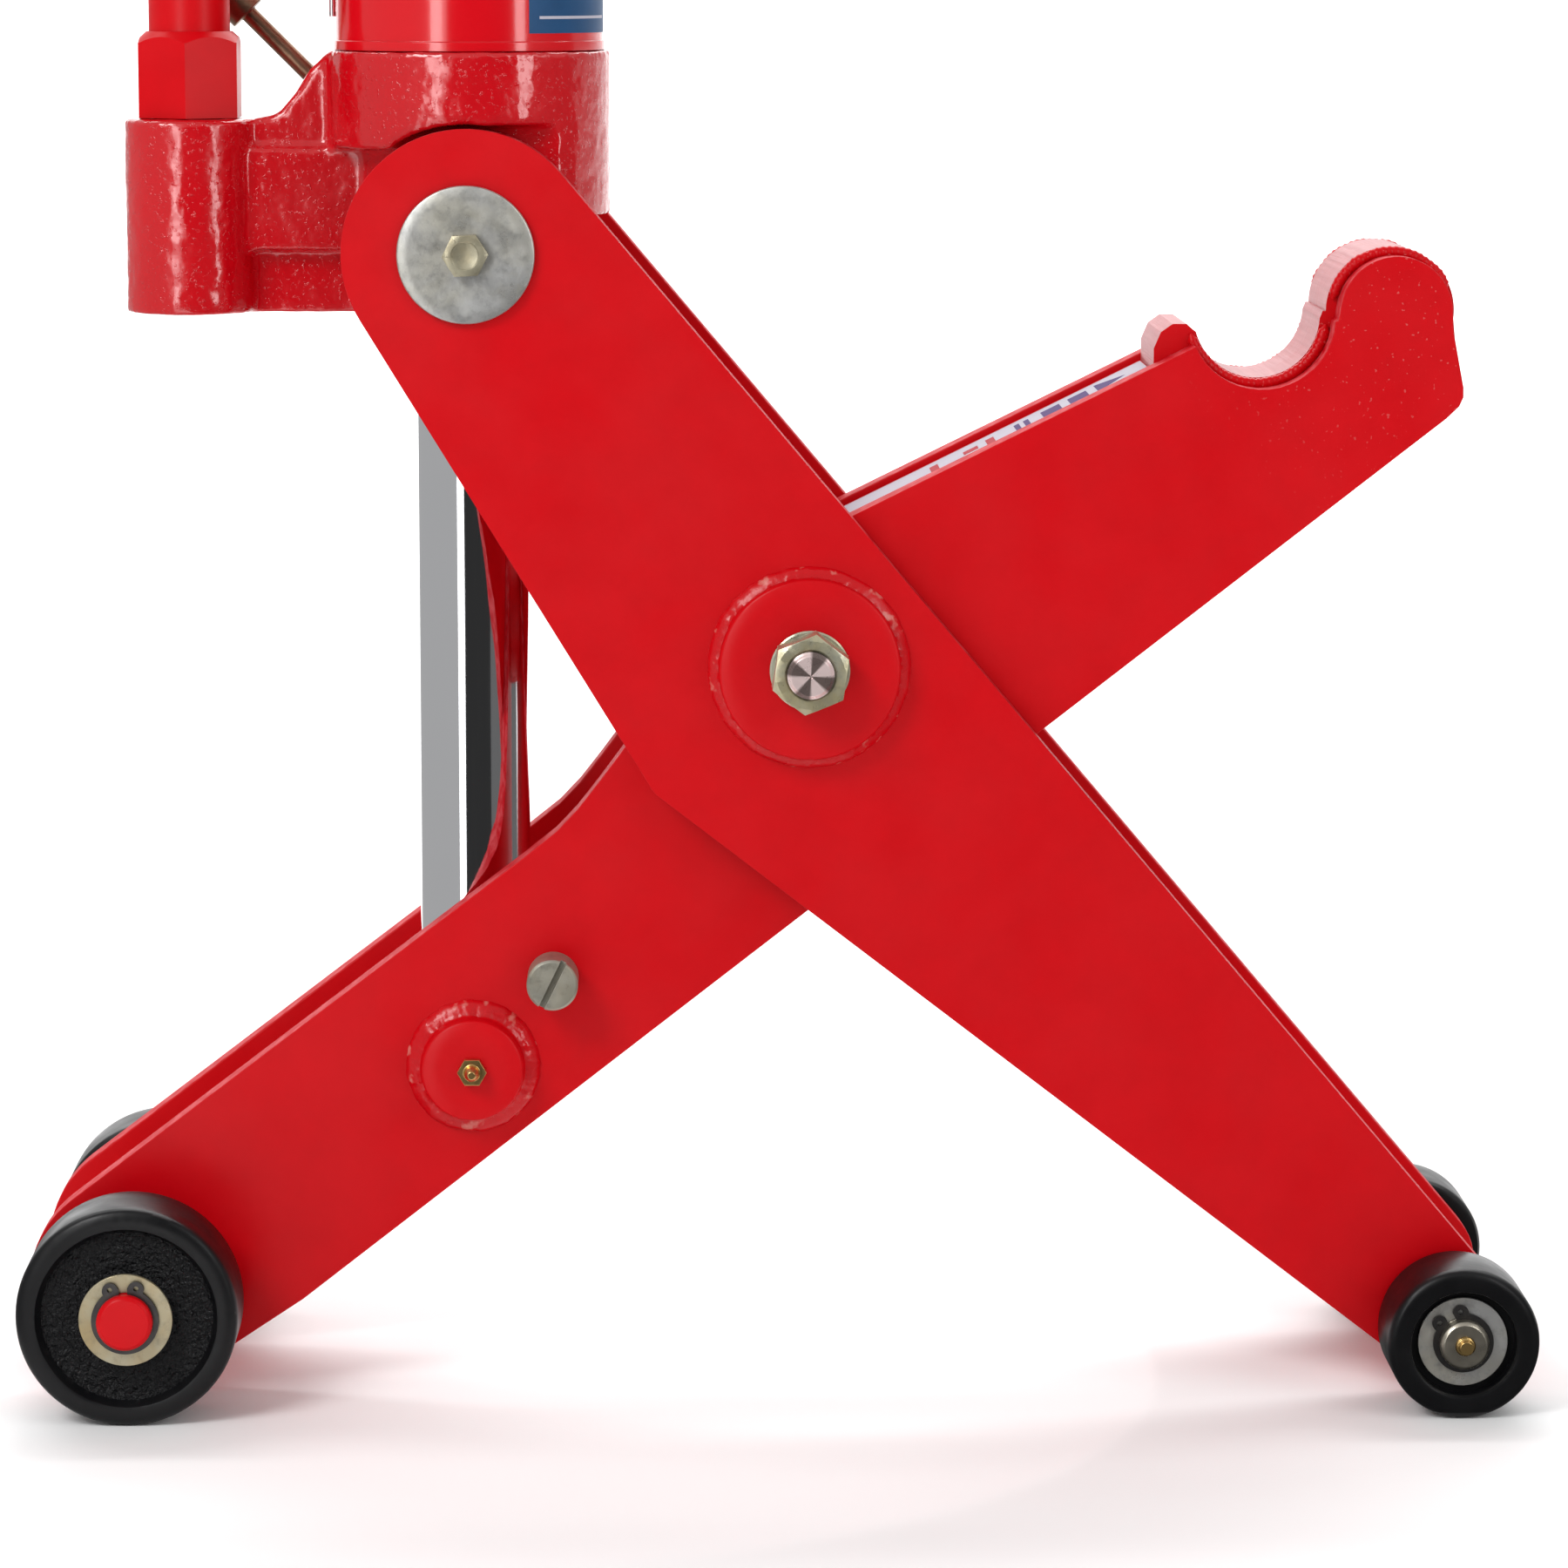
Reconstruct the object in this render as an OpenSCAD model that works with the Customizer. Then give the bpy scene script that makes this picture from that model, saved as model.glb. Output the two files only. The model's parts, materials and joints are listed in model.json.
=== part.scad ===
// Hydraulic scissor jack with a low hooked saddle.
// X runs along the jack, rear rollers at minus X. Y runs across it. Z is up from the floor.

/* [Arms] */
// Thickness of the four arm plates
plate_t = 15; // [12:1:18]
// Clear width between the two lift plates
inner_gap = 62; // [56:1:70]
// Running gap between a lift plate and a side plate
plate_gap = 1; // [0.5:0.5:3]
// Height of the middle pivot above the floor
pivot_z = 318.5; // [300:0.5:330]
// Position of the middle pivot along the jack
pivot_x = 13; // [0:1:30]

/* [Rollers] */
// Radius of a rear roller
rear_r = 47; // [40:1:55]
// Radius of a front roller
front_r = 32.5; // [28:0.5:38]
// Width of every roller
roller_w = 38; // [30:1:44]
// Radius of the rear axle journal
rear_journal = 11.85; // [10:0.05:14]
// Radius of the front axle journal
front_journal = 10.5; // [9:0.1:12]

/* [Saddle] */
// Radius of the round seat in the saddle block
seat_r = 27; // [22:1:34]
// Radius of the nose of the saddle block
nose_r = 27.5; // [24:0.5:30]

/* [Hydraulics] */
// Radius of the chromed ram rod
rod_r = 24; // [20:1:26]
// Gap all round the ram rod and the piston
slide_gap = 0.7; // [0.6:0.1:1]
// Outside radius of the reservoir tube
tube_r = 57.25; // [54:0.25:62]
// Height of the top of the reservoir tube
tube_top = 860; // [840:5:900]
// Radius of the pump plunger
plunger_r = 9; // [7:0.5:11]
// Radius of the bore that takes the pump bar
bar_r = 15; // [12:0.5:17]

/* [Hidden] */
$fn = 96;
fit = 0.05;
yi0 = inner_gap / 2;
yi1 = yi0 + plate_t;
yo0 = yi1 + plate_gap;
yo1 = yo0 + plate_t;
yr0 = yo1 + 3;
yr1 = yr0 + roller_w;
rear_x = pivot_x - 289.6;
front_x = pivot_x + 278;
ram_x = pivot_x - 144.4;
ram_z = pivot_z - 175;
trun_z = pivot_z + 175;
pump_x = ram_x - 119.8;
shaft_r = 20;
thread_r = 10;
pin_r = 14;
trun_r = 20;
block_z0 = trun_z - 28;
ledge_z = trun_z + 14;
shelf_z = trun_z + 43;
block_z1 = trun_z + 84.5;
boss_z1 = trun_z + 55.5;
hex_z1 = boss_z1 + 36.8;
gland_z = block_z0 + 29.5;
cyl_r = 40;
bore_r = 32.7;
piston_z0 = ram_z + 435;
piston_z1 = ram_z + 460;
seat_x = pivot_x + 192;
seat_z = pivot_z + 147.5;
nose_x = pivot_x + 249;
nose_z = pivot_z + 149;
stud_x = pivot_x - 109.7;
stud_z = pivot_z - 136.3;
ful_z = 838;
ful_x = pump_x + 45;
crank = 45.6;
crank_a = 17.5;
rel_a = 45;
rel_y = 28;

// ---- helpers ----

module ycyl(r, y0, y1, x, z) {
    translate([x, y1, z]) rotate([90, 0, 0]) cylinder(r = r, h = y1 - y0);
}

module ycone(r0, r1, y0, y1, x, z) {
    translate([x, y0, z]) rotate([-90, 0, 0]) cylinder(r1 = r0, r2 = r1, h = y1 - y0);
}

module yring(ro, ri, y0, y1, x, z) {
    difference() {
        ycyl(ro, y0, y1, x, z);
        ycyl(ri, y0 - 1, y1 + 1, x, z);
    }
}

module zcyl(r, z0, z1, x, y) {
    translate([x, y, z0]) cylinder(r = r, h = z1 - z0);
}

module yhex(af, y0, y1, x, z, a = 0) {
    translate([x, y1, z]) rotate([90, 0, 0]) rotate([0, 0, a]) cylinder(r = af / sqrt(3), h = y1 - y0, $fn = 6);
}

module block(x0, x1, y0, y1, z0, z1) {
    translate([x0, y0, z0]) cube([x1 - x0, y1 - y0, z1 - z0]);
}

module slab(y0, y1) {
    translate([0, y1, 0]) rotate([90, 0, 0]) linear_extrude(height = y1 - y0) children();
}

module near() {
    mirror([0, 1, 0]) children();
}

// ---- outlines of the arms, drawn about the middle pivot ----

module lift_outline() {
    e = [rear_x - pivot_x, rear_r - pivot_z];
    polygon([
        for (a = [-58:-5:-168]) e + (rear_r - 2.5) * [cos(a), sin(a)],
        for (a = [-172:-5:-232]) e + (rear_r + 0.5) * [cos(a), sin(a)],
        [-121.8, -84], [-108, -73], [-99, -63.5], [-90, -52], [-80.7, -39.5], [-40, 17.5], [-24, 37],
        [-6, 51], [15.5, 61.4], [166.5, 135.8], [180, 137], [215, 140], [225.2, 146],
        for (a = [172:-6:-2]) [250, 149] + 24 * [cos(a), sin(a)],
        [274.3, 141.5], [279, 117], [279, 113], [277.3, 109.2], [271.9, 104], [-218.8, -278]]);
}

module side_outline() {
    b = [ram_x - pivot_x, trun_z - pivot_z];
    f = [front_x - pivot_x, front_r - pivot_z];
    union() {
        translate(b) circle(r = 52.5);
        translate(f) circle(r = 26.5);
        polygon([b + 52.5 * [cos(211), sin(211)], [-68.6, -49.5], [-67.2, -52.2], [-65.2, -54.6],
            f + 26.5 * [cos(232.1), sin(232.1)], f, f + 26.5 * [cos(40.2), sin(40.2)],
            b + 52.5 * [cos(40.2), sin(40.2)], b]);
    }
}

module circlip(r, x, z, y0, y1, turn) {
    difference() {
        union() {
            yring(r + 2.4, r - 0.8, y0, y1, x, z);
            for (a = [turn - 22, turn + 22]) {
                ycyl(3.4, y0, y1, x + (r + 2.6) * cos(a), z + (r + 2.6) * sin(a));
            }
        }
        translate([x, 0, z]) rotate([0, -turn, 0]) translate([0, y0 - 1, -1.8]) cube([r + 9, y1 - y0 + 2, 3.6]);
        for (a = [turn - 22, turn + 22]) {
            ycyl(1.1, y0 - 1, y1 + 1, x + (r + 3) * cos(a), z + (r + 3) * sin(a));
        }
    }
}

// ---- rear axle group ----

module axle(shoulder, journal, y_sh, y_end, y_g, x, z) {
    difference() {
        union() {
            ycyl(shoulder, -y_sh, y_sh, x, z);
            ycyl(journal, -y_end + 1.5, y_end - 1.5, x, z);
            ycone(journal, journal - 1.5, y_end - 1.5, y_end, x, z);
            near() ycone(journal, journal - 1.5, y_end - 1.5, y_end, x, z);
        }
        yring(journal + 3, journal - 0.9, y_g, y_g + 1.8, x, z);
        near() yring(journal + 3, journal - 0.9, y_g, y_g + 1.8, x, z);
    }
}

module rear_axle() {
    color([0.68, 0.07, 0.09]) axle(15, rear_journal, yr0 - 0.4, yr1 + 9, yr1 + 2.5, rear_x, rear_r);
}

module rear_washer_far() {
    color([0.72, 0.68, 0.5]) yring(19.8, rear_journal + fit, yr1 + 0.3, yr1 + 2.3, rear_x, rear_r);
}

module rear_washer_near() {
    near() rear_washer_far();
}

module rear_circlip_far() {
    color([0.12, 0.12, 0.13]) circlip(rear_journal, rear_x, rear_r, yr1 + 2.6, yr1 + 4.1, 93);
}

module rear_circlip_near() {
    near() rear_circlip_far();
}

module roller(r, bore, hub, recess_r, depth_out, depth_in, x, z) {
    edge = 4;
    color([0.04, 0.04, 0.045]) difference() {
        union() {
            ycyl(r, yr0 + edge, yr1 - edge, x, z);
            ycone(r, r - edge * 0.45, yr1 - edge, yr1, x, z);
            ycone(r - edge * 0.45, r, yr0, yr0 + edge, x, z);
        }
        ycyl(bore, yr0 - 1, yr1 + 1, x, z);
        yring(recess_r, hub, yr1 - depth_out, yr1 + 1, x, z);
        yring(recess_r, hub + 2, yr0 - 1, yr0 + depth_in, x, z);
    }
}

module rear_roller_far() {
    roller(rear_r, rear_journal + fit, 17, rear_r - 9, 5, 6, rear_x, rear_r);
}

module rear_roller_near() {
    near() rear_roller_far();
}

module front_roller_far() {
    difference() {
        roller(front_r, front_journal + fit, 15, 22.5, 8, 5, front_x, front_r);
        ycyl(22.5, yr1 - 8, yr1 + 1, front_x, front_r);
    }
}

module front_roller_near() {
    near() front_roller_far();
}

// ---- lift arm ----

module lift_plate_far() {
    color([0.78, 0.05, 0.08]) difference() {
        translate([pivot_x, 0, pivot_z]) slab(yi0, yi1) lift_outline();
        ycyl(15 + fit, yi0 - 1, yi1 + 1, rear_x, rear_r);
        ycyl(shaft_r + fit, yi0 - 1, yi1 + 1, pivot_x, pivot_z);
        ycyl(pin_r + 0.03, yi0 - 1, yi1 + 1, ram_x, ram_z);
        ycyl(8.03, yi0 - 1, yi1 + 1, stud_x, stud_z);
        ycyl(seat_r + 4, yi0 - 1, yi1 + 1, pivot_x + 193, seat_z);
    }
}

module lift_plate_near() {
    near() lift_plate_far();
}

module saddle_block() {
    color([0.8, 0.32, 0.34]) difference() {
        union() {
            translate([pivot_x, 0, pivot_z]) slab(-yi0, yi0)
                polygon([[148, 66], [148, 133], [151, 140], [156, 143.5], [162, 143.5], [166, 140], [166, 149],
                    [276, 149], [279, 117], [279, 113], [277.3, 109.2], [271.9, 104], [204, 51.2]]);
            ycyl(nose_r, -yi0, yi0, nose_x, nose_z);
        }
        ycyl(seat_r, -yi0 - 1, yi0 + 1, seat_x, seat_z);
        translate([pivot_x, 0, pivot_z]) slab(-yi0 - 1, yi0 + 1) polygon([[150, 149], [216, 149], [219.02, 146],
            [221.6, 152.5], [222.5, 160], [222, 181], [150, 181]]);
        ycyl(9, -yi0 - 1, yi0 + 1, pivot_x + 190, pivot_z + 84);
    }
}

module top_web() {
    color([0.78, 0.05, 0.08]) translate([pivot_x, 0, pivot_z]) slab(-yi0, yi0)
        polygon([[4, 52.7], [148, 123.6], [148, 114.6], [4, 43.7]]);
}

module height_label() {
    color([0.93, 0.92, 0.94]) translate([pivot_x, 0, pivot_z]) slab(-24, 24)
        polygon([[12, 56.64], [147, 123.11], [147, 123.56], [12, 57.09]]);
}

module lift_axle_tube() {
    color([0.78, 0.05, 0.08]) yring(24, 15.4, -yi0, yi0, rear_x, rear_r);
}

module pivot_tube() {
    color([0.78, 0.05, 0.08]) yring(30, shaft_r + 0.4, -yi0, yi0, pivot_x, pivot_z);
}

module lower_pin() {
    color([0.6, 0.6, 0.58]) ycyl(pin_r, -yi1, yi1, ram_x, ram_z);
}

module lower_boss_far() {
    color([0.78, 0.05, 0.08]) difference() {
        union() {
            ycone(29.6, 23, yi1, yi1 + 4.5, ram_x, ram_z);
            ycyl(22, yi1, yi1 + 11, ram_x, ram_z);
            ycone(22, 21, yi1 + 11, yi1 + 12, ram_x, ram_z);
        }
        ycyl(4.03, yi1 + 3, yi1 + 13, ram_x, ram_z);
    }
}

module lower_boss_near() {
    near() lower_boss_far();
}

module nipple(x, z, y0, shank) {
    color([0.75, 0.58, 0.28]) {
        ycyl(4, y0 - shank, y0, x, z);
        yhex(11, y0, y0 + 4, x, z);
        ycone(3.6, 2.2, y0 + 4, y0 + 6.5, x, z);
        ycyl(2.2, y0 + 6, y0 + 7.5, x, z);
        ycone(3.1, 1.6, y0 + 7.5, y0 + 10, x, z);
    }
}

module lower_nipple() {
    near() nipple(ram_x, ram_z, yi1 + 12, 8);
}

module stop_stud_far() {
    color([0.6, 0.58, 0.48]) difference() {
        union() {
            ycyl(8, yi0, yi1, stud_x, stud_z);
            ycyl(11, yi1, yi1 + 19, stud_x, stud_z);
            ycone(11, 10, yi1 + 19, yi1 + 20, stud_x, stud_z);
        }
        translate([stud_x, yi1 + 18.5, stud_z]) rotate([0, -64, 0]) cube([30, 5, 2.6], center = true);
    }
}

module stop_stud_near() {
    near() stop_stud_far();
}

// ---- side arm ----

module side_plate_far() {
    color([0.8, 0.05, 0.08]) difference() {
        translate([pivot_x, 0, pivot_z]) slab(yo0, yo1) side_outline();
        ycyl(shaft_r + 0.03, yo0 - 1, yo1 + 1, pivot_x, pivot_z);
        ycyl(trun_r + fit, yo0 - 1, yo1 + 1, ram_x, trun_z);
        ycyl(13.03, yo0 - 1, yo1 + 1, front_x, front_r);
    }
}

module side_plate_near() {
    near() side_plate_far();
}

module pivot_disc_far() {
    color([0.8, 0.05, 0.08]) difference() {
        union() {
            ycone(43.7, 39.3, yo1, yo1 + 4, pivot_x, pivot_z);
            ycyl(38.5, yo1, yo1 + 9, pivot_x, pivot_z);
            ycone(38.5, 37.5, yo1 + 9, yo1 + 10, pivot_x, pivot_z);
        }
        ycyl(thread_r + 0.03, yo1 - 1, yo1 + 11, pivot_x, pivot_z);
    }
}

module pivot_disc_near() {
    near() pivot_disc_far();
}

module pivot_shaft() {
    ye = yo1 + 29.5;
    color([0.62, 0.6, 0.58]) union() {
        ycyl(shaft_r, -yo1, yo1, pivot_x, pivot_z);
        ycyl(thread_r, -ye + 1.5, ye - 1.5, pivot_x, pivot_z);
        ycone(thread_r, thread_r - 1.5, ye - 1.5, ye, pivot_x, pivot_z);
        near() ycone(thread_r, thread_r - 1.5, ye - 1.5, ye, pivot_x, pivot_z);
    }
}

module pivot_nut_far() {
    y = yo1 + 10;
    color([0.66, 0.64, 0.5]) difference() {
        union() {
            ycyl(17.4, y, y + 2.2, pivot_x, pivot_z);
            yhex(30, y + 1, y + 16, pivot_x, pivot_z, 30);
        }
        ycyl(thread_r + 0.03, y - 1, y + 17, pivot_x, pivot_z);
    }
}

module pivot_nut_near() {
    near() pivot_nut_far();
}

module front_axle() {
    color([0.6, 0.58, 0.52]) difference() {
        axle(13, front_journal, yr0 - 0.4, yr1 + 2, yr1 - 5.4, front_x, front_r);
        ycyl(4.03, yr1 - 6, yr1 + 3, front_x, front_r);
        near() ycyl(4.03, yr1 - 6, yr1 + 3, front_x, front_r);
    }
}

module front_tie_tube() {
    color([0.8, 0.05, 0.08]) yring(19, 13.4, -yo0, yo0, front_x, front_r);
}

module front_washer_far() {
    color([0.68, 0.66, 0.58]) yring(19.2, front_journal + fit, yr1 - 7.6, yr1 - 5.8, front_x, front_r);
}

module front_washer_near() {
    near() front_washer_far();
}

module front_circlip_far() {
    color([0.12, 0.12, 0.13]) circlip(front_journal, front_x, front_r, yr1 - 5.3, yr1 - 3.8, 118);
}

module front_circlip_near() {
    near() front_circlip_far();
}

module front_nipple_far() {
    color([0.75, 0.58, 0.28]) {
        ycyl(4, yr1 - 5, yr1 + 2, front_x, front_r);
        ycone(3.4, 2.2, yr1 + 2, yr1 + 4, front_x, front_r);
        ycyl(2.9, yr1 + 4, yr1 + 6, front_x, front_r);
    }
}

module front_nipple_near() {
    near() front_nipple_far();
}

// ---- hydraulic unit ----

module release_axis(d0, d1, r) {
    x0 = ram_x - 65.6;
    z0 = trun_z + 68.5;
    translate([x0 - d0 * cos(rel_a), rel_y, z0 + d0 * sin(rel_a)])
        rotate([0, -90 + rel_a, 0]) cylinder(r = r, h = d1 - d0);
}

module pump_block() {
    color([0.72, 0.05, 0.07]) difference() {
        union() {
            intersection() {
                zcyl(47, block_z0, shelf_z + 2, ram_x, 0);
                block(ram_x - 60, ram_x + 60, -yi1, yi1, block_z0, shelf_z + 2);
            }
            intersection() {
                zcyl(60.5, ledge_z, shelf_z + 2, ram_x, 0);
                block(ram_x + 12, ram_x + 70, -yi1, yi1, ledge_z, shelf_z + 2);
            }
            difference() {
                zcyl(60.5, shelf_z, block_z1, ram_x, 0);
                for (s = [0, 1]) mirror([0, s, 0]) {
                    ycyl(54, yi1, 70, ram_x, trun_z);
                    block(ram_x + 10, ram_x + 70, yi1, 70, shelf_z - 1, trun_z + 53.6);
                }
            }
            zcyl(28.5, block_z0, boss_z1, pump_x, 0);
            block(pump_x, ram_x - 40, -14, 14, trun_z - 0.5, shelf_z);
            block(pump_x, ram_x - 40, -6, 6, block_z0, trun_z + 1);
            slab(-10, 10) polygon([[pump_x + 20, trun_z + 30], [pump_x + 20, trun_z + 54], [-223, trun_z + 55.6],
                [-213.6, trun_z + 57.5], [-205.3, trun_z + 67], [-199.6, trun_z + 76.5], [-192.8, trun_z + 82.6],
                [ram_x - 50, trun_z + 82.6], [ram_x - 50, trun_z + 30]]);
            release_axis(-36, 4, 11);
            ycyl(trun_r, -yo1 + 0.3, yo1 - 0.3, ram_x, trun_z);
            ycyl(27.5, -yo0 + 0.3, yo0 - 0.3, ram_x, trun_z);
        }
        zcyl(30, block_z0 - 1, gland_z + 1, ram_x, 0);
        zcyl(cyl_r + 0.03, gland_z, block_z1 + 1, ram_x, 0);
        zcyl(14.03, boss_z1 - 30, boss_z1 + 1, pump_x, 0);
        ycyl(5.03, yo1 - 20, yo1, ram_x, trun_z);
        near() ycyl(5.03, yo1 - 20, yo1, ram_x, trun_z);
        release_axis(-22, 6, 5 + fit);
        zcyl(4, block_z0 + 8, boss_z1 - 25, pump_x, 0);
    }
}

module reservoir_tube() {
    color([0.82, 0.05, 0.08]) difference() {
        union() {
            zcyl(tube_r, block_z1, tube_top, ram_x, 0);
            zcyl(tube_r + 0.8, block_z1, block_z1 + 4, ram_x, 0);
        }
        zcyl(tube_r - 4, block_z1 - 1, tube_top + 1, ram_x, 0);
    }
}

module pressure_cylinder() {
    color([0.5, 0.5, 0.52]) difference() {
        zcyl(cyl_r, gland_z, tube_top - 8, ram_x, 0);
        zcyl(bore_r, gland_z - 1, tube_top - 7, ram_x, 0);
    }
}

module top_cap() {
    color([0.72, 0.05, 0.07]) difference() {
        union() {
            zcyl(tube_r - 4.1, tube_top - 8, tube_top, ram_x, 0);
            zcyl(60, tube_top, tube_top + 14, ram_x, 0);
            translate([ram_x, 0, tube_top + 14]) cylinder(r1 = 60, r2 = 54, h = 5);
            zcyl(24, tube_top + 19, tube_top + 27, ram_x, 0);
        }
        zcyl(6.03, tube_top - 9, tube_top + 20, ram_x + 38, 0);
        for (s = [-1, 1]) {
            zcyl(5.53, tube_top + 6, tube_top + 20, ram_x, 38 * s);
        }
    }
}

module gland() {
    color([0.45, 0.44, 0.42]) difference() {
        union() {
            zcyl(29.97, block_z0, gland_z, ram_x, 0);
            zcyl(36, block_z0 - 5, block_z0, ram_x, 0);
        }
        zcyl(rod_r + slide_gap, block_z0 - 6, gland_z + 1, ram_x, 0);
        zcyl(29.03, block_z0 - 6, block_z0 - 1, ram_x, 0);
    }
}

module rod_wiper() {
    color([0.05, 0.05, 0.05]) difference() {
        zcyl(29, block_z0 - 7, block_z0 - 1, ram_x, 0);
        zcyl(rod_r + 0.5, block_z0 - 8, block_z0, ram_x, 0);
    }
}

module trunnion_washer_far() {
    color([0.7, 0.7, 0.62]) yring(29, 5.2, yo1 + 0.3, yo1 + 3.3, ram_x, trun_z);
}

module trunnion_washer_near() {
    near() trunnion_washer_far();
}

module trunnion_bolt_far() {
    color([0.66, 0.6, 0.42]) difference() {
        union() {
            ycyl(5, yo1 - 18, yo1 + 3.4, ram_x, trun_z);
            yhex(17, yo1 + 3.3, yo1 + 9.8, ram_x, trun_z, 12);
        }
        ycone(0.5, 5.5, yo1 + 8.6, yo1 + 10, ram_x, trun_z);
    }
}

module trunnion_bolt_near() {
    near() trunnion_bolt_far();
}

module pump_cylinder() {
    color([0.78, 0.05, 0.08]) difference() {
        union() {
            zcyl(14, boss_z1 - 26, boss_z1, pump_x, 0);
            translate([pump_x, 0, boss_z1]) rotate([0, 0, 30]) cylinder(r = 42 / sqrt(3), h = 32, $fn = 6);
            intersection() {
                translate([pump_x, 0, boss_z1]) rotate([0, 0, 30]) cylinder(r = 42 / sqrt(3), h = 36.8, $fn = 6);
                translate([pump_x, 0, boss_z1 + 31]) cylinder(r1 = 25, r2 = 18.4, h = 5.8);
            }
            zcyl(17.35, hex_z1 - 6, 730, pump_x, 0);
            zcyl(19.5, 716, 730, pump_x, 0);
        }
        zcyl(plunger_r + fit, boss_z1 - 20, 732, pump_x, 0);
    }
}

module filler_plug() {
    color([0.7, 0.68, 0.6]) union() {
        zcyl(6, tube_top + 2, tube_top + 19, ram_x + 38, 0);
        zcyl(9.6, tube_top + 19, tube_top + 21, ram_x + 38, 0);
        translate([ram_x + 38, 0, tube_top + 21]) cylinder(r = 17 / sqrt(3), h = 8, $fn = 6);
    }
}

module carry_handle() {
    z = tube_top + 62;
    color([0.08, 0.08, 0.09]) union() {
        for (s = [-1, 1]) {
            zcyl(5.5, tube_top + 6, z, ram_x, 38 * s);
            translate([ram_x, 22 * s, z]) rotate([0, 0, 90 * s]) rotate([90, 0, 0])
                rotate_extrude(angle = 90) translate([16, 0]) circle(r = 5.5);
        }
        ycyl(5.5, -22, 22, ram_x, z + 16);
    }
}

module lever_bracket() {
    color([0.78, 0.05, 0.08]) difference() {
        union() {
            for (s = [-1, 1]) {
                translate([0, 19 * s, 0]) slab(-4, 4) polygon([[ram_x - 40, 800], [ram_x - 62, 800],
                    [ful_x - 9, ful_z - 8], [ful_x - 9, ful_z + 9], [ram_x - 40, ful_z + 9]]);
                ycyl(12, 19 * s - 4, 19 * s + 4, ful_x, ful_z);
            }
            block(ram_x - 63, ram_x - 40, -16, 16, 800, 812);
        }
        zcyl(tube_r + 0.01, 790, 860, ram_x, 0);
        ycyl(6.03, -24, 24, ful_x, ful_z);
    }
}

module fulcrum_pin() {
    color([0.66, 0.64, 0.55]) union() {
        ycyl(6, -23.2, 26, ful_x, ful_z);
        ycyl(8.5, -26, -23.1, ful_x, ful_z);
    }
}

module wire_clip() {
    x = ram_x - tube_r - 1.4;
    color([0.75, 0.75, 0.77]) union() {
        for (s = [0, 1]) {
            zcyl(1.3, 592, 672 - 12 * s, x, 7 * s);
        }
        ycyl(1.1, -1, 8, x, 593.4);
        zcyl(2.3, 660, 676, x - 1.2, 0);
    }
}

// ---- ram ----

module ram_rod() {
    color([0.85, 0.85, 0.87]) difference() {
        union() {
            ycyl(28, -29.5, 29.5, ram_x, ram_z);
            zcyl(rod_r, ram_z, piston_z0, ram_x, 0);
            zcyl(12, piston_z0, piston_z1, ram_x, 0);
        }
        ycyl(pin_r + fit, -31, 31, ram_x, ram_z);
    }
}

module ram_piston() {
    color([0.4, 0.4, 0.42]) difference() {
        zcyl(bore_r - slide_gap, piston_z0, piston_z1, ram_x, 0);
        zcyl(12.03, piston_z0 - 1, piston_z1 + 1, ram_x, 0);
        difference() {
            zcyl(40, piston_z0 + 9, piston_z0 + 15, ram_x, 0);
            zcyl(27.5, piston_z0 + 8, piston_z0 + 16, ram_x, 0);
        }
    }
}

module piston_seal() {
    color([0.05, 0.05, 0.05]) difference() {
        zcyl(bore_r - 0.6, piston_z0 + 9.1, piston_z0 + 14.9, ram_x, 0);
        zcyl(27.53, piston_z0 + 9, piston_z0 + 15, ram_x, 0);
    }
}

// ---- pump ----

module pump_plunger() {
    pz = ful_z + crank * sin(crank_a);
    color([0.8, 0.8, 0.82]) difference() {
        union() {
            zcyl(plunger_r, 606, pz - 22, pump_x, 0);
            zcyl(15, pz - 23, pz + 9, pump_x, 0);
        }
        block(pump_x - 20, pump_x + 20, -8.3, 8.3, pz - 16, pz + 10);
    }
    color([0.66, 0.64, 0.55]) ycyl(5, -14, 14, pump_x, pz);
}

module lever_socket() {
    sx = ful_x - 6;
    color([0.78, 0.05, 0.08]) difference() {
        union() {
            ycyl(14, -14.5, 14.5, ful_x, ful_z);
            translate([ful_x, 0, ful_z]) rotate([0, crank_a, 0]) block(-crank - 11, 0, -8, 8, -10.5, 10.5);
            block(sx - 15, sx + 15, -14.5, 14.5, ful_z, ful_z + 42);
            zcyl(bar_r + 4.5, ful_z + 34, ful_z + 152, sx, 0);
        }
        ycyl(6 + fit, -16, 16, ful_x, ful_z);
        translate([ful_x, 0, ful_z]) rotate([0, crank_a, 0]) {
            ycyl(5.45, -9, 9, -crank - 2, -0.21);
            ycyl(5.45, -9, 9, -crank + 2.5, -0.21);
            block(-crank - 2, -crank + 2.5, -9, 9, -5.66, 5.24);
        }
        zcyl(bar_r, ful_z + 40, ful_z + 153, sx, 0);
        ycyl(4.5, 5, 22, sx, ful_z + 134);
    }
}

module release_spindle() {
    color([0.3, 0.24, 0.18]) union() {
        release_axis(-21, 3, 5);
        release_axis(3, 49, 3.75);
        release_axis(44, 58, 8.5);
    }
}

// ---- output ----

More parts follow.
